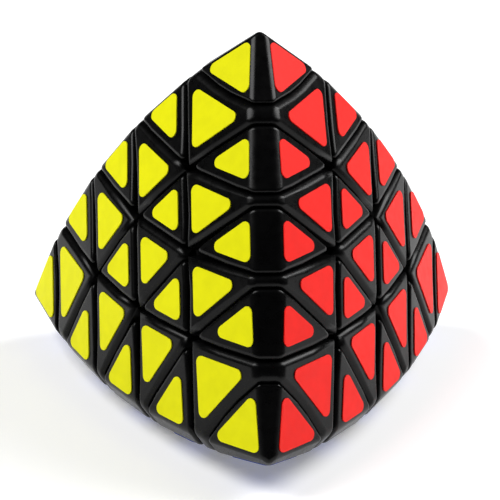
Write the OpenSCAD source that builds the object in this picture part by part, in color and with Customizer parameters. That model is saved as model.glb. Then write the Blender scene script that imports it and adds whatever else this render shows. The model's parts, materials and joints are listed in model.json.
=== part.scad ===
// Pyramid twisty puzzle with five layers on each of its four axes.
// Every cut is a shallow twelve-sided cone about one axis, and every piece is what the cuts
// leave of one pillowed tetrahedron. A piece is named by its layer on the top, front, left and
// right axis: layer 1 is the tip of that axis and layer 5 lies against the opposite face.

/* [Body] */
// Distance from the puzzle's centre to the middle of a face
face_distance = 35.1; // [34:0.1:36]
// Radius of the sphere that the facets of one face touch
face_radius = 217; // [190:1:260]
// Distance from the puzzle's centre to the middle of a ridge's flat band
ridge_distance = 49.7; // [49:0.1:50.5]
// Radius of the arc that the ridge bands touch
ridge_radius = 190; // [170:1:230]

/* [Cuts] */
// Height of the cut below the tip, where it crosses its axis
tip_cut = 54.3; // [53.5:0.1:55]
// Height of the second cut
wing_cut = 33.4; // [33:0.1:34]
// Height of the third cut
mid_cut = 14.1; // [13.7:0.1:14.5]
// Height of the fourth cut
base_cut = -7.3; // [-7.7:0.1:-6.9]
// Rise of a cut for each millimetre away from its axis
cut_slope = 0.15; // [0.13:0.01:0.17]
// Clearance between two neighbouring pieces
gap = 0.4; // [0.3:0.05:0.5]

/* [Stickers] */
// Thickness of a sticker
sticker_thickness = 0.3; // [0.2:0.05:0.4]
// Distance from a cut to the edge of a tip's sticker
tip_margin = 1.6; // [1.5:0.05:2]
// The same on a wing edge
wing_margin = 3.1; // [2.6:0.05:3.4]
// The same on a mid edge or a triangle centre
upright_margin = 2.6; // [2.2:0.05:3]
// The same on an axial
axial_margin = 3.4; // [2.8:0.05:3.6]
// The same on a bow edge
bow_margin = 2.9; // [2.6:0.05:3.4]
// The same on a face centre
center_margin = 3.2; // [2.8:0.05:3.6]
// Distance from a ridge band to a sticker's edge
ridge_margin = 0.5; // [0.3:0.05:1]
// Radius of a sticker's corners
sticker_corner = 1.7; // [1:0.1:2]

/* [Mechanism] */
// Radius of the hollow in the middle, which holds the core
hollow_radius = 28; // [27:0.1:28.2]
// Depth of the ring tongues that hook the layers together
tongue_depth = 2.2; // [1.6:0.1:2.6]
// Radius of the core's ball
core_ball = 12; // [10:0.5:14]
// Radius of the core's arms
arm_radius = 5.5; // [5:0.1:6]
// Length of the core's arms from the centre
arm_length = 28; // [27:0.25:28.25]
// Radius of the axis screws
screw_radius = 1.5; // [1.3:0.1:1.7]
// Turns of a spring
spring_turns = 5; // [4:1:6]

/* [Hidden] */
$fn = 64;

plastic = [0.06, 0.06, 0.065];
yellow = [0.90, 0.90, 0.10];
red = [0.95, 0.20, 0.12];
green = [0.10, 0.62, 0.25];
blue = [0.08, 0.30, 0.75];
steel = [0.70, 0.70, 0.72];

// The four axes point from the centre to the tips. A face is named by the tip opposite to it:
// yellow is RIGHT, red is LEFT, green is FRONT and blue, the bottom, is TOP.
TOP = 0;
FRONT = 1;
LEFT = 2;
RIGHT = 3;
axes = [
    [0, 0, 1],
    [0, -sqrt(8) / 3, -1 / 3],
    [-sqrt(6) / 3, sqrt(2) / 3, -1 / 3],
    [sqrt(6) / 3, sqrt(2) / 3, -1 / 3],
];

cuts = [0, tip_cut, wing_cut, mid_cut, base_cut];
// Inner and outer radius of the ring tongue on each cut. The tip has its clip instead.
tongues = [[], [], [14.3, 18], [24.4, 28], [29.2, 33.2]];

// Kinds of piece: [sum of its four layers, how many of them are layer 5, lowest layer]
TIP = [16, 3, 1];
WING = [16, 2, 2];
MID = [16, 2, 3];
TRIANGLE = [16, 1, 3];
AXIAL = [17, 3, 2];
BOW = [17, 2, 3];
CENTER = [17, 1, 4];
sticker_margins = [
    [TIP, tip_margin], [WING, wing_margin], [MID, upright_margin], [TRIANGLE, upright_margin],
    [AXIAL, axial_margin], [BOW, bow_margin], [CENTER, center_margin],
];

reach = 80;
block = 200;
cut_sides = 12;
ring_sides = 60;
hollow_sides = 12;
// How far a cutting shape runs past what it cuts, or a joined one into its neighbour
past = 1;
rest_height = face_distance + sticker_thickness;

// Stations along an axis, and the radii there
arm_start = 8;
hub_radius = 7;
hub_clearance = 1.2;
hub_bottom = arm_length + 0.2;
shank_clearance = 0.3;
screw_tip = 14;
spring_floor = 38;
spring_height = 5.4;
spring_radius = 3;
wire_radius = 0.35;
washer_thickness = 0.6;
washer_radius = 4.2;
head_radius = 3.2;
head_height = 2.2;
well_radius = 4.8;
lip_bottom = 51;
lip_radius = 4.15;
clip_bottom = 49.3;
clip_top = 61;
clip_radius = 4.07;
clip_flange = 4.6;
clip_flange_height = 1.5;
clip_bore = 2.4;
clip_roof = 1;
clip_slot = 1.2;
clip_slot_depth = 5.5;
socket_clearance = 0.05;
thread_clearance = 0.05;
recess_length = 4;
recess_width = 0.9;
recess_depth = 1.2;
head_bottom = spring_floor + spring_height + 2 * washer_thickness;

function unit(v) = v / norm(v);
function other_axes(face) = [for (k = [TOP : RIGHT]) if (k != face) k];
function radius_about(k, p) = norm(p - (p * axes[k]) * axes[k]);

function kind(layers) =
    [layers * [1, 1, 1, 1], len([for (n = layers) if (n == 5) n]), min(layers)];

// The pieces of one kind in one layer of the top axis
function pieces(layer, wanted) = [
    for (f = [1 : 5]) for (l = [1 : 5]) for (r = [1 : 5])
    let (piece = [layer, f, l, r]) if (kind(piece) == wanted) piece
];

function tip_layers(k) = [for (n = [TOP : RIGHT]) n == k ? 1 : 5];

// A plane is [unit normal, distance from the centre].
function meeting(a, b, c) =
    let (ab = cross(a[0], b[0]), bc = cross(b[0], c[0]), ca = cross(c[0], a[0]))
    (a[1] * bc + b[1] * ca + c[1] * ab) / (a[0] * bc);

// Ridge between two faces: the direction out to it, and the direction along it
function ridge_out(f, g) = -unit(axes[f] + axes[g]);
function ridge_along(f, g) = unit(cross(axes[f], axes[g]));
function ridge_plane(f, g, p) =
    let (lean = asin(ridge_along(f, g) * p / ridge_radius))
    [cos(lean) * ridge_out(f, g) + sin(lean) * ridge_along(f, g),
     cos(lean) * (ridge_distance - ridge_radius) + ridge_radius];

// The plane that touches a face's sphere nearest to a point
function face_plane(face, p) =
    let (middle = axes[face] * (face_radius - face_distance), normal = unit(p - middle))
    [normal, normal * middle + face_radius];

// The side of a facet towards axis k, near a point: a cut below it (an upright facet),
// a cut above it (an inverted facet), or the ridge where there is no cut. Margins move it in.
function upright(piece) = piece * [1, 1, 1, 1] == 16;
function side_plane(piece, face, k, p, margin, edge_margin) =
    let (cut = upright(piece) ? piece[k] : piece[k] - 1, inward = upright(piece) ? margin : -margin)
    cut == 5
        ? let (ridge = ridge_plane(face, k, p)) [ridge[0], ridge[1] - edge_margin]
        : [axes[k], cuts[cut] + cut_slope * radius_about(k, p) + inward];

// A facet's corner between its sides a and b, found in a few steps
function corner(piece, face, plane, a, b, p, margin, edge_margin, steps = 6) =
    steps == 0 ? p :
    corner(piece, face, plane, a, b,
        meeting(plane, side_plane(piece, face, a, p, margin, edge_margin),
            side_plane(piece, face, b, p, margin, edge_margin)),
        margin, edge_margin, steps - 1);
function corners(piece, face, plane, margin, edge_margin) =
    let (k = other_axes(face), start = plane[0] * plane[1])
    [for (i = [0 : 2]) corner(piece, face, plane, k[i], k[(i + 1) % 3], start, margin, edge_margin)];
function middle(points) = (points[0] + points[1] + points[2]) / 3;

// A facet's plane touches the face's sphere at the middle of the facet
function facet(piece, face, plane, steps = 4) =
    steps == 0 ? plane :
    facet(piece, face, face_plane(face, middle(corners(piece, face, plane, 0, 0))), steps - 1);
function flat_face(face) = face_plane(face, -face_distance * axes[face]);
function facet_middle(piece, face) =
    middle(corners(piece, face, facet(piece, face, flat_face(face)), 0, 0));

// The outline of a triangle with rounded corners
function rounded_triangle(c, r, steps = 6) =
    let (turn = c[1] - c[0], back = c[2] - c[0],
        points = turn[0] * back[1] > turn[1] * back[0] ? c : [c[0], c[2], c[1]])
    [for (i = [0 : 2])
        let (before = unit(points[i] - points[(i + 2) % 3]), after = unit(points[(i + 1) % 3] - points[i]),
            from = [before[1], -before[0]], to = [after[1], -after[0]],
            pivot = points[i] - (from + to) * r / (1 + from * to),
            start = atan2(from[1], from[0]), sweep = acos(from * to))
        for (j = [0 : steps]) let (a = start + sweep * j / steps) pivot + r * [cos(a), sin(a)]
    ];

module from_centre() {
    translate([0, 0, rest_height]) children();
}

module towards(direction) {
    rotate([0, acos(direction[2]), atan2(direction[1], direction[0])]) children();
}

module tube(inner, outer, height) {
    difference() {
        cylinder(r = outer, h = height);
        translate([0, 0, -past]) cylinder(r = inner, h = height + 2 * past);
    }
}

// A disc with flat sides, so many that it still turns in a round recess
module flat_disc(r, height) {
    linear_extrude(height)
        polygon([for (i = [1 : ring_sides]) r * [cos(360 * i / ring_sides), sin(360 * i / ring_sides)]]);
}

// Everything behind a plane
module behind(plane) {
    towards(plane[0]) translate([0, 0, plane[1]]) translate([-block, -block, -2 * block]) cube(2 * block);
}

// Everything above a cut, with the ring tongue that reaches down through it.
// With spare it is the room that those pieces need to turn, and the tongue's ring is a disc,
// because only its outer wall holds a tongue in. The cut has flat sides, few enough to be
// plain and many enough that the corners of one layer clear the next.
module above_cut(k, cut, spare = 0) {
    rise = cuts[cut] + gap / 2 - spare;
    rim = reach / cut_slope / cos(180 / cut_sides);
    ring = tongues[cut];
    towards(axes[k]) {
        translate([0, 0, rise]) rotate(180 / cut_sides)
            cylinder(h = reach, r1 = 0, r2 = rim, $fn = cut_sides);
        if (cut > 1) translate([0, 0, rise + cut_slope * ring[0] - tongue_depth])
            difference() {
                flat_disc(ring[1] + spare, tongue_depth + 2 * past);
                if (spare == 0) translate([0, 0, -past]) flat_disc(ring[0], tongue_depth + 4 * past);
            }
    }
}

// The room that the layers above a piece need on some axes
module layers_above(layers, on) {
    for (k = on) if (layers[k] > 1) above_cut(k, layers[k] - 1, gap);
}

// One piece of black plastic
module piece(layers) {
    faces = [for (k = [TOP : RIGHT]) if (layers[k] == 5) k];
    facets = [for (f = faces) facet(layers, f, flat_face(f))];
    bands = [for (f = faces) for (g = faces) if (f < g) ridge_plane(f, g, facet_middle(layers, f))];
    difference() {
        intersection() {
            intersection_for (plane = concat(facets, bands)) behind(plane);
            intersection_for (k = [for (n = [TOP : RIGHT]) if (layers[n] < 5) n]) above_cut(k, layers[k]);
        }
        layers_above(layers, [TOP : RIGHT]);
        for (k = [TOP : RIGHT]) if (layers[k] == 3)
            towards(axes[k]) cylinder(r = hub_radius + hub_clearance, h = wing_cut, $fn = hollow_sides);
        sphere(hollow_radius, $fn = hollow_sides);
    }
}

module plain_pieces(layer, wanted) {
    from_centre() for (layers = pieces(layer, wanted)) piece(layers);
}
module wing_edges(layer) {
    color(plastic) plain_pieces(layer, WING);
}
module mid_edges(layer) {
    color(plastic) plain_pieces(layer, MID);
}
module bow_edges(layer) {
    color(plastic) plain_pieces(layer, BOW);
}
module triangle_centers(layer) {
    color(plastic) plain_pieces(layer, TRIANGLE);
}
module face_centers(layer) {
    color(plastic) plain_pieces(layer, CENTER);
}

// The pieces under the tips of one layer: each turns on an arm of the core and holds a clip
module axials(layer) {
    color(plastic) from_centre() for (layers = pieces(layer, AXIAL)) axial(layers);
}
module axial(layers) {
    k = search(2, layers)[0];
    difference() {
        union() {
            piece(layers);
            difference() {
                towards(axes[k]) translate([0, 0, hub_bottom])
                    cylinder(r = hub_radius, h = spring_floor - hub_bottom);
                layers_above(layers, other_axes(k));
            }
        }
        towards(axes[k]) {
            cylinder(r = screw_radius + shank_clearance, h = spring_floor + past);
            translate([0, 0, spring_floor]) cylinder(r = well_radius, h = lip_bottom - spring_floor);
            translate([0, 0, spring_floor + past]) cylinder(r = lip_radius, h = reach - spring_floor);
        }
    }
}

module tip(k) {
    color(plastic) from_centre() difference() {
        piece(tip_layers(k));
        towards(axes[k]) cylinder(r = clip_radius + socket_clearance, h = clip_top + socket_clearance);
    }
}

// A split snap clip. It sits in the tip's socket and turns in the axial's lip.
module tip_clip(k) {
    color(plastic) from_centre() towards(axes[k]) difference() {
        union() {
            translate([0, 0, clip_bottom]) cylinder(r = clip_radius, h = clip_top - clip_bottom);
            translate([0, 0, clip_bottom]) cylinder(r = clip_flange, h = clip_flange_height);
        }
        translate([0, 0, clip_bottom - past])
            cylinder(r = clip_bore, h = clip_top - clip_roof - clip_bottom + past);
        for (turn = [0, 90]) rotate([0, 0, turn])
            translate([-clip_flange - past, -clip_slot / 2, clip_bottom - past])
                cube([2 * (clip_flange + past), clip_slot, clip_slot_depth + past]);
    }
}

module sticker(layers, face) {
    plane = facet(layers, face, flat_face(face));
    normal = plane[0];
    yaw = atan2(normal[1], normal[0]);
    pitch = acos(normal[2]);
    across = [cos(yaw) * cos(pitch), sin(yaw) * cos(pitch), -sin(pitch)];
    along = [-sin(yaw), cos(yaw), 0];
    margin = [for (m = sticker_margins) if (m[0] == kind(layers)) m[1]][0];
    outline = [for (p = corners(layers, face, plane, margin, ridge_margin)) [p * across, p * along]];
    from_centre() towards(normal) translate([0, 0, plane[1]]) linear_extrude(sticker_thickness)
        polygon(rounded_triangle(outline, sticker_corner));
}

// A face's stickers on one layer of the top axis, without the tips
module stickers(layer, face, kinds = [WING, MID, TRIANGLE, AXIAL, BOW, CENTER]) {
    for (wanted = kinds) for (layers = pieces(layer, wanted)) if (layers[face] == 5) sticker(layers, face);
}
module yellow_stickers(layer) {
    color(yellow) stickers(layer, RIGHT);
}
module red_stickers(layer) {
    color(red) stickers(layer, LEFT);
}
module green_stickers(layer) {
    color(green) stickers(layer, FRONT);
}
module base_blue_stickers() {
    color(blue) stickers(5, TOP, [WING, MID, TRIANGLE, AXIAL, BOW]);
}
// The puzzle rests on this one
module base_center_sticker() {
    color(blue) stickers(5, TOP, [CENTER]);
}

module yellow_tip_sticker(k) {
    color(yellow) sticker(tip_layers(k), RIGHT);
}
module red_tip_sticker(k) {
    color(red) sticker(tip_layers(k), LEFT);
}
module green_tip_sticker(k) {
    color(green) sticker(tip_layers(k), FRONT);
}
module blue_tip_sticker(k) {
    color(blue) sticker(tip_layers(k), TOP);
}

// A coil of round wire as a swept ring of points
module coil(radius, wire, turns, height) {
    sides = 6;
    steps = 14 * turns;
    points = [for (i = [0 : steps]) for (j = [0 : sides - 1])
        let (a = 360 * turns * i / steps, b = 360 * j / sides, r = radius + wire * cos(b))
        [r * cos(a), r * sin(a), wire * sin(b) + wire + (height - 2 * wire) * i / steps]];
    walls = [for (i = [0 : steps - 1]) for (j = [0 : sides - 1])
        let (a = i * sides + j, b = i * sides + (j + 1) % sides) [a, a + sides, b + sides, b]];
    ends = [[for (j = [0 : sides - 1]) j], [for (j = [sides - 1 : -1 : 0]) steps * sides + j]];
    polyhedron(points, concat(walls, ends), convexity = 10);
}

module core() {
    color(plastic) from_centre() difference() {
        union() {
            sphere(core_ball);
            for (k = [TOP : RIGHT]) towards(axes[k]) translate([0, 0, arm_start])
                cylinder(r = arm_radius, h = arm_length - arm_start);
        }
        for (k = [TOP : RIGHT]) towards(axes[k]) translate([0, 0, screw_tip - past])
            cylinder(r = screw_radius + thread_clearance, h = arm_length);
    }
}

module axis_screws() {
    color(steel) from_centre() for (k = [TOP : RIGHT]) towards(axes[k]) difference() {
        union() {
            translate([0, 0, screw_tip]) cylinder(r = screw_radius, h = head_bottom - screw_tip);
            translate([0, 0, head_bottom]) cylinder(r = head_radius, h = head_height);
        }
        for (turn = [0, 90]) rotate([0, 0, turn])
            translate([-recess_length / 2, -recess_width / 2, head_bottom + head_height - recess_depth])
                cube([recess_length, recess_width, recess_depth + past]);
    }
}

module spring_washers() {
    color(steel) from_centre() for (k = [TOP : RIGHT]) towards(axes[k])
        for (z = [spring_floor, head_bottom - washer_thickness]) translate([0, 0, z])
            tube(screw_radius + shank_clearance, washer_radius, washer_thickness);
}

module axis_springs() {
    color(steel) from_centre() for (k = [TOP : RIGHT]) towards(axes[k])
        translate([0, 0, spring_floor + washer_thickness])
            coil(spring_radius, wire_radius, spring_turns, spring_height);
}

core();
axis_screws();
axis_springs();
spring_washers();
axials(5);  // base_axials
wing_edges(5);  // base_wing_edges
mid_edges(5);  // base_mid_edges
bow_edges(5);  // base_bow_edges
triangle_centers(5);  // base_triangle_centers
face_centers(5);  // base_face_center
yellow_stickers(5);  // base_yellow_stickers
red_stickers(5);  // base_red_stickers
green_stickers(5);  // base_green_stickers
base_blue_stickers();
base_center_sticker();
wing_edges(4);  // layer4_wing_edges
bow_edges(4);  // layer4_bow_edges
triangle_centers(4);  // layer4_triangle_centers
face_centers(4);  // layer4_face_centers
yellow_stickers(4);  // layer4_yellow_stickers
red_stickers(4);  // layer4_red_stickers
green_stickers(4);  // layer4_green_stickers
mid_edges(3);  // layer3_mid_edges
bow_edges(3);  // layer3_bow_edges
triangle_centers(3);  // layer3_triangle_centers
yellow_stickers(3);  // layer3_yellow_stickers
red_stickers(3);  // layer3_red_stickers
green_stickers(3);  // layer3_green_stickers
axials(2);  // top_axial
wing_edges(2);  // layer2_wing_edges
yellow_stickers(2);  // layer2_yellow_stickers
red_stickers(2);  // layer2_red_stickers
green_stickers(2);  // layer2_green_stickers
tip(TOP);  // top_tip
tip_clip(TOP);  // top_tip_clip
yellow_tip_sticker(TOP);  // top_tip_yellow_sticker
red_tip_sticker(TOP);  // top_tip_red_sticker
green_tip_sticker(TOP);  // top_tip_green_sticker
tip(FRONT);  // front_tip
tip_clip(FRONT);  // front_tip_clip
yellow_tip_sticker(FRONT);  // front_tip_yellow_sticker
red_tip_sticker(FRONT);  // front_tip_red_sticker
blue_tip_sticker(FRONT);  // front_tip_blue_sticker
tip(LEFT);  // left_tip
tip_clip(LEFT);  // left_tip_clip
yellow_tip_sticker(LEFT);  // left_tip_yellow_sticker
green_tip_sticker(LEFT);  // left_tip_green_sticker
blue_tip_sticker(LEFT);  // left_tip_blue_sticker
tip(RIGHT);  // right_tip
tip_clip(RIGHT);  // right_tip_clip
red_tip_sticker(RIGHT);  // right_tip_red_sticker
green_tip_sticker(RIGHT);  // right_tip_green_sticker
blue_tip_sticker(RIGHT);  // right_tip_blue_sticker
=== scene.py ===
"""Pyramid twisty puzzle: moulded pieces, stickers and a photo-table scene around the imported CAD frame."""
import json
import math
from itertools import combinations

import bmesh
import bpy
from mathutils import Matrix, Vector

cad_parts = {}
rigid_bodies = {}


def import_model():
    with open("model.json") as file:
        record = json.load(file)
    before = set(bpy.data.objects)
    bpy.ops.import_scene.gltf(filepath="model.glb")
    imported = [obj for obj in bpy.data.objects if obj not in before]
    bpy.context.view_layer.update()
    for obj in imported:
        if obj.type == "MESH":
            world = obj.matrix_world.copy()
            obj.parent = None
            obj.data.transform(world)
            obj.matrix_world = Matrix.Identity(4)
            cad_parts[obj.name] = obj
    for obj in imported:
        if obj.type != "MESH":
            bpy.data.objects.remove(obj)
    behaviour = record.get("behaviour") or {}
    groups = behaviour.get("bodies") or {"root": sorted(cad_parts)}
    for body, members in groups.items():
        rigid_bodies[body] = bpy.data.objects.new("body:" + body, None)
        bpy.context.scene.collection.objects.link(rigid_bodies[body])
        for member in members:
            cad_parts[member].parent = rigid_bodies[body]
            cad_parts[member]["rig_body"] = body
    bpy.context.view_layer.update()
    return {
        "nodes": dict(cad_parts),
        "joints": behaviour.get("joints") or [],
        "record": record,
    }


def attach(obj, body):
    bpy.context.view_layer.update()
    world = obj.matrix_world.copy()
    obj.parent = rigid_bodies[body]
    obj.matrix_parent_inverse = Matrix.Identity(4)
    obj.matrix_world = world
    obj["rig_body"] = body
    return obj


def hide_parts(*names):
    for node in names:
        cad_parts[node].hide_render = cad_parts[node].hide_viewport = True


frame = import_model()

MM = 0.001

# The puzzle's centre, and the directions from it to the four tips
TIP_TURNS = {j["child"]: j for j in frame["joints"] if j["child"].endswith("_tip")}
CENTRE = Vector(TIP_TURNS["top_tip"]["pos_m"])
TIP_AXES = {name: Vector(turn["axis"]) for name, turn in TIP_TURNS.items()}

# The black pieces' outer edges are moulded round
SHOULDER = 1.7 * MM         # how far from an edge the rounding starts
TIP_SHOULDER = 0.82         # the share of it on the tips, whose stickers reach further
END_SHARE = 0.46            # the share of an edge that the shoulder at either end may take
SHOULDER_STEPS = 4
SHORTEST = 2 * MM           # a shorter edge is too short for a shoulder at either end
UPRIGHT_DEPTH = 7 * MM      # how far the rounding goes down the edges between two grooves
UPRIGHT_SHARE = 0.6         # the most of such an edge that it takes

# Which faces and edges show
OUTER_REACH = 34.5 * MM     # the outer faces' planes are further than this from the centre
FACET_LEAN = math.cos(math.radians(22))     # and lean less than this from a side or a ridge
FLAT_ANGLE = math.radians(0.4)      # faces that meet at less than this are one flat face
RIM_ANGLE = math.radians(6)         # the rim is where an outer face ends at more than this
UPRIGHT_ANGLE = math.radians(20)    # and an edge below it shows at more than this
SHARP_TURN = math.radians(40)       # a corner of the rim turns by more than this
SMOOTH_ANGLE = math.radians(35)     # an edge without a shoulder shades smooth below this
SAME_PLACE = 0.001 * MM             # vertices nearer than this are one

# The stickers' cut edges
STICKER_EDGE = 0.08 * MM
STICKER_STEPS = 2

# The stage, in metres. The camera's distance comes from the photograph's perspective
FLOOR_SIZE = 6
CAMERA_DISTANCE = 1.316


# ---------------------------------------------------------------- materials

def shader(name):
    """A new material, its node tree and its Principled shader."""
    material = bpy.data.materials.new(name)
    material.use_nodes = True
    tree = material.node_tree
    return material, tree, tree.nodes["Principled BSDF"]


def noise(tree, scale, detail=2.0, distortion=0.0):
    """Noise in the object's own coordinates. Returns the node's output."""
    place = tree.nodes.new("ShaderNodeTexCoord")
    grain = tree.nodes.new("ShaderNodeTexNoise")
    grain.inputs["Scale"].default_value = scale
    grain.inputs["Detail"].default_value = detail
    grain.inputs["Distortion"].default_value = distortion
    tree.links.new(place.outputs["Object"], grain.inputs["Vector"])
    return grain.outputs["Fac"]


def spread(tree, source, low, high):
    """Maps noise from its usual middle range to low..high."""
    ramp = tree.nodes.new("ShaderNodeMapRange")
    ramp.inputs["From Min"].default_value = 0.3
    ramp.inputs["From Max"].default_value = 0.7
    ramp.inputs["To Min"].default_value = low
    ramp.inputs["To Max"].default_value = high
    tree.links.new(source, ramp.inputs["Value"])
    return ramp.outputs["Result"]


def tint(tree, source, first, second):
    """A colour between two, by noise."""
    ramp = tree.nodes.new("ShaderNodeValToRGB")
    ramp.color_ramp.elements[0].position = 0.35
    ramp.color_ramp.elements[1].position = 0.65
    ramp.color_ramp.elements[0].color = (*first, 1)
    ramp.color_ramp.elements[1].color = (*second, 1)
    tree.links.new(source, ramp.inputs["Fac"])
    return ramp.outputs["Color"]


def bump(tree, source, strength, depth):
    """A normal from noise, depth in metres."""
    node = tree.nodes.new("ShaderNodeBump")
    node.inputs["Strength"].default_value = strength
    node.inputs["Distance"].default_value = depth
    tree.links.new(source, node.inputs["Height"])
    return node.outputs["Normal"]


def plastic(name, first, second, low, high, grain):
    """Moulded plastic: cloudy from one colour to another, unevenly glossy and finely grained."""
    material, tree, surface = shader(name)
    cloudy = tint(tree, noise(tree, scale=160), first, second)
    uneven = spread(tree, noise(tree, scale=420, detail=4), low, high)
    grainy = bump(tree, noise(tree, scale=3200), strength=grain, depth=0.05 * MM)
    tree.links.new(cloudy, surface.inputs["Base Color"])
    tree.links.new(uneven, surface.inputs["Roughness"])
    tree.links.new(grainy, surface.inputs["Normal"])
    surface.inputs["IOR"].default_value = 1.5
    surface.inputs["Specular IOR Level"].default_value = 0.16
    return material


def vinyl(name, colour, gloss):
    """Cut vinyl: slightly mottled, with a soft, uneven gloss."""
    material, tree, surface = shader(name)
    darker = [c * 0.94 for c in colour]
    mottled = tint(tree, noise(tree, scale=220, detail=3), darker, colour)
    uneven = spread(tree, noise(tree, scale=500, detail=3), low=0.5, high=0.58)
    wavy = bump(tree, noise(tree, scale=1500), strength=0.12, depth=0.03 * MM)
    tree.links.new(mottled, surface.inputs["Base Color"])
    tree.links.new(uneven, surface.inputs["Roughness"])
    tree.links.new(wavy, surface.inputs["Normal"])
    surface.inputs["IOR"].default_value = 1.46
    surface.inputs["Specular IOR Level"].default_value = gloss
    return material


def plated_steel(name):
    """Zinc plated steel, slightly streaked."""
    material, tree, surface = shader(name)
    streaks = noise(tree, scale=700, detail=3, distortion=1.5)
    streaked = tint(tree, streaks, (0.48, 0.49, 0.5), (0.66, 0.66, 0.68))
    uneven = spread(tree, noise(tree, scale=900, detail=3), low=0.22, high=0.4)
    tree.links.new(streaked, surface.inputs["Base Color"])
    tree.links.new(uneven, surface.inputs["Roughness"])
    surface.inputs["Metallic"].default_value = 1.0
    return material


MATERIALS = {
    "black_plastic": plastic("satin_black_plastic", (0.0008, 0.0008, 0.0009), (0.0014, 0.0014, 0.0015),
                             low=0.25, high=0.33, grain=0.1),
    "core_plastic": plastic("matt_core_plastic", (0.02, 0.02, 0.022), (0.03, 0.03, 0.032),
                            low=0.5, high=0.6, grain=0.2),
    "yellow_vinyl": vinyl("yellow_vinyl", (0.80, 0.78, 0.001), gloss=0.12),
    "red_vinyl": vinyl("red_vinyl", (0.92, 0.006, 0.001), gloss=0.3),
    "green_vinyl": vinyl("green_vinyl", (0.005, 0.33, 0.06), gloss=0.3),
    "blue_vinyl": vinyl("blue_vinyl", (0.004, 0.05, 0.36), gloss=0.3),
    "steel": plated_steel("plated_steel"),
}


def dress(piece, slot):
    """Gives a piece its slot's material."""
    piece.data.materials.clear()
    piece.data.materials.append(MATERIALS[slot])


# ---------------------------------------------------------------- black pieces

SIDES = [-axis for axis in TIP_AXES.values()]
RIDGES = [(a + b).normalized() for a, b in combinations(SIDES, 2)]


def is_outer(face):
    """True for a facet or a ridge band, which show on the assembled puzzle."""
    reach = face.normal.dot(face.calc_center_median() - CENTRE)
    return reach > OUTER_REACH and any(face.normal.dot(n) > FACET_LEAN for n in SIDES + RIDGES)


def solids(bm):
    """The separate solids of a mesh, each as a list of its vertices."""
    left, found = set(bm.verts), []
    for first in bm.verts:
        if first not in left:
            continue
        left.remove(first)
        edge, solid = [first], []
        while edge:
            vert = edge.pop()
            solid.append(vert)
            for other in (e.other_vert(vert) for e in vert.link_edges):
                if other in left:
                    left.remove(other)
                    edge.append(other)
        found.append(solid)
    return found


def unique(items):
    """The items once each, in the order they came."""
    return list(dict.fromkeys(items))


def rim_edges(verts, outer):
    """The sharp edges of the outer faces."""
    edges = unique(e for v in verts for e in v.link_edges)
    return [e for e in edges
            if any(f in outer for f in e.link_faces) and e.calc_face_angle(0) > RIM_ANGLE]


def turn_at(vert, rim):
    """How far the rim is from passing straight through a vertex: 0 if it does."""
    ways = [(e.other_vert(vert).co - vert.co).normalized() for e in vert.link_edges if e in rim]
    if len(ways) != 2:
        return math.pi
    return math.pi - ways[0].angle(ways[1])


def without_short_edges(bm, verts):
    """Draws the rim's short edges together at their sharper end, so that a shoulder fits on what is left."""
    while True:
        outer = {f for v in verts for f in v.link_faces if is_outer(f)}
        rim = rim_edges(verts, outer)
        short = [e for e in rim if e.calc_length() < SHORTEST]
        if not short:
            return verts
        edge = min(short, key=lambda e: (e.calc_length(), tuple(e.verts[0].co)))
        kept, lost = sorted(edge.verts, key=lambda v: -turn_at(v, rim))
        bmesh.ops.weld_verts(bm, targetmap={lost: kept})
        verts = [v for v in verts if v.is_valid]


def uprights(bm, rim):
    """The edges that go down between two grooves from the rim, as far as they show."""
    found = []
    for vert in rim:
        down = [e for e in vert.link_edges
                if e.calc_face_angle(0) > UPRIGHT_ANGLE and not any(is_outer(f) for f in e.link_faces)]
        if len(down) != 1:
            continue
        if down[0].other_vert(vert) in rim:
            found.append(down[0])
        else:
            share = min(UPRIGHT_DEPTH / down[0].calc_length(), UPRIGHT_SHARE)
            found.append(bmesh.utils.edge_split(down[0], vert, share)[0])
    return unique(found)


def mark_shoulders(bm, verts, weight, share):
    """Marks the outer edges of one solid for the bevel, less at a corner with a short edge."""
    verts = without_short_edges(bm, verts)
    outer = {f for v in verts for f in v.link_faces if is_outer(f)}
    shoulders = rim_edges(verts, outer)
    for edge in shoulders + uprights(bm, unique(v for e in shoulders for v in e.verts)):
        edge[weight] = share
    for edge in shoulders:
        room = END_SHARE * edge.calc_length() / SHOULDER
        for vert in edge.verts:
            way = edge.other_vert(vert).co - vert.co
            for side in (e for e in vert.link_edges if e in shoulders and e != edge):
                bend = math.pi - way.angle(side.other_vert(vert).co - vert.co)
                if bend > SHARP_TURN:
                    side[weight] = min(side[weight], room)


def moulded_edges(mesh, share):
    """Marks the outer edges of every solid in a mesh for the bevel, with this share of SHOULDER."""
    bm = bmesh.new()
    bm.from_mesh(mesh)
    bmesh.ops.remove_doubles(bm, verts=bm.verts, dist=SAME_PLACE)
    bmesh.ops.dissolve_limit(bm, angle_limit=FLAT_ANGLE, verts=bm.verts, edges=bm.edges)
    bm.normal_update()
    weight = bm.edges.layers.float.new("bevel_weight_edge")
    for verts in solids(bm):
        mark_shoulders(bm, verts, weight, share)
    for face in bm.faces:
        face.smooth = True
    for edge in bm.edges:
        edge.smooth = edge[weight] > 0 or edge.calc_face_angle(0) < SMOOTH_ANGLE
    bm.to_mesh(mesh)
    bm.free()


def black_piece(name, slot):
    """Stands for a CAD node with the same solids, their outer edges moulded round."""
    node = frame["nodes"][name]
    piece = bpy.data.objects.new(name + "_moulded", node.data.copy())
    bpy.context.scene.collection.objects.link(piece)
    moulded_edges(piece.data, TIP_SHOULDER if name.endswith("_tip") else 1)
    shoulder = piece.modifiers.new("shoulders", "BEVEL")
    shoulder.limit_method = "WEIGHT"
    shoulder.width = SHOULDER
    shoulder.segments = SHOULDER_STEPS
    shoulder.use_clamp_overlap = False
    shoulder.loop_slide = False
    even = piece.modifiers.new("even_facets", "WEIGHTED_NORMAL")
    even.keep_sharp = True
    dress(piece, slot)
    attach(piece, node["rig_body"])
    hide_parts(name)


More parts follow.
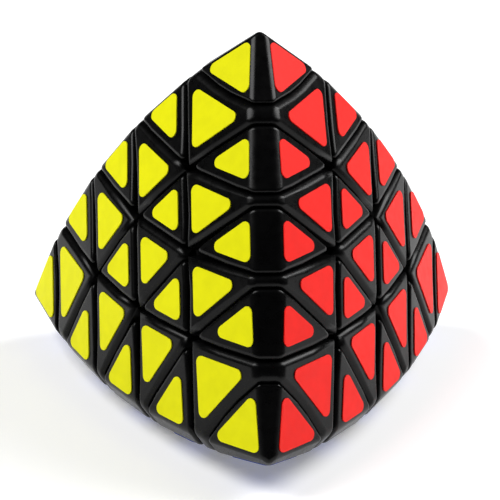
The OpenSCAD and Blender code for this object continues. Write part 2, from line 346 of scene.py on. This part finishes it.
# ---------------------------------------------------------------- CAD nodes that stay

def break_edges(sticker):
    """Rounds the cut edges of a CAD sticker with a modifier."""
    edge = sticker.modifiers.new("broken_edges", "BEVEL")
    edge.width = STICKER_EDGE
    edge.segments = STICKER_STEPS
    edge.limit_method = "ANGLE"
    edge.angle_limit = math.radians(40)
    edge.harden_normals = True


def build():
    """Gives every node its look. The black pieces get a stand-in, and the others keep the CAD's mesh."""
    slots = {s["node"]: s["material_slot"] for s in frame["record"]["subparts"]}
    for name, node in frame["nodes"].items():
        slot = slots[name]
        if slot == "black_plastic" and not name.endswith("_clip"):
            black_piece(name, slot)
        else:
            dress(node, slot)
            if slot.endswith("_vinyl"):
                break_edges(node)


build()


# ---------------------------------------------------------------- stage, lights and camera

def floor():
    """A pale floor that glows a little, for a background nearly as white as the photograph's."""
    bpy.ops.mesh.primitive_plane_add(size=FLOOR_SIZE, location=(0, 0, 0))
    plane = bpy.context.object
    plane.name = "floor"
    material, tree, surface = shader("pale_floor")
    tree.links.new(tint(tree, noise(tree, scale=3), (0.84, 0.84, 0.84), (0.88, 0.88, 0.88)),
                   surface.inputs["Base Color"])
    surface.inputs["Roughness"].default_value = 0.8
    surface.inputs["Emission Color"].default_value = (1, 1, 1, 1)
    surface.inputs["Emission Strength"].default_value = 0.25
    plane.data.materials.append(material)


def softbox(name, azimuth, elevation, distance, width, height, power):
    """A rectangular light that faces the puzzle. Azimuth 0 is in front, 90 to the right."""
    data = bpy.data.lights.new(name, "AREA")
    data.shape = "RECTANGLE"
    data.size = width
    data.size_y = height
    data.energy = power
    light = bpy.data.objects.new(name, data)
    bpy.context.scene.collection.objects.link(light)
    a, e = math.radians(azimuth), math.radians(elevation)
    towards = Vector((math.sin(a) * math.cos(e), -math.cos(a) * math.cos(e), math.sin(e)))
    light.location = CENTRE + distance * towards
    light.rotation_euler = (-towards).to_track_quat("-Z", "Y").to_euler()


def lights():
    """A softbox high on each side, and a faint fill from all around."""
    softbox("left", azimuth=-88, elevation=52, distance=0.9, width=0.5, height=0.5, power=7.6)
    softbox("right", azimuth=106, elevation=42, distance=0.9, width=0.6, height=0.5, power=9.5)
    world = bpy.data.worlds.new("studio")
    world.use_nodes = True
    world.node_tree.nodes["Background"].inputs["Color"].default_value = (1, 1, 1, 1)
    world.node_tree.nodes["Background"].inputs["Strength"].default_value = 0.015
    bpy.context.scene.world = world
    bpy.context.scene.view_settings.view_transform = "Standard"


def camera():
    """The photograph's long lens, from in front and a little above."""
    azimuth, elevation, roll = math.radians(-5.05), math.radians(26.35), math.radians(1.74)
    back = Vector((math.sin(azimuth) * math.cos(elevation), -math.cos(azimuth) * math.cos(elevation),
                   math.sin(elevation)))
    level = Vector((math.cos(azimuth), math.sin(azimuth), 0))
    rise = back.cross(level)
    right = math.cos(roll) * level + math.sin(roll) * rise
    up = math.cos(roll) * rise - math.sin(roll) * level
    data = bpy.data.cameras.new("camera")
    data.lens = 348
    data.sensor_width = 36
    data.shift_x = -0.0053
    data.shift_y = 0.0395
    data.clip_end = 20
    view = bpy.data.objects.new("camera", data)
    bpy.context.scene.collection.objects.link(view)
    turned = Matrix((right, up, back)).transposed().to_4x4()
    view.matrix_world = Matrix.Translation(CENTRE + CAMERA_DISTANCE * back) @ turned
    bpy.context.scene.camera = view


floor()
lights()
camera()
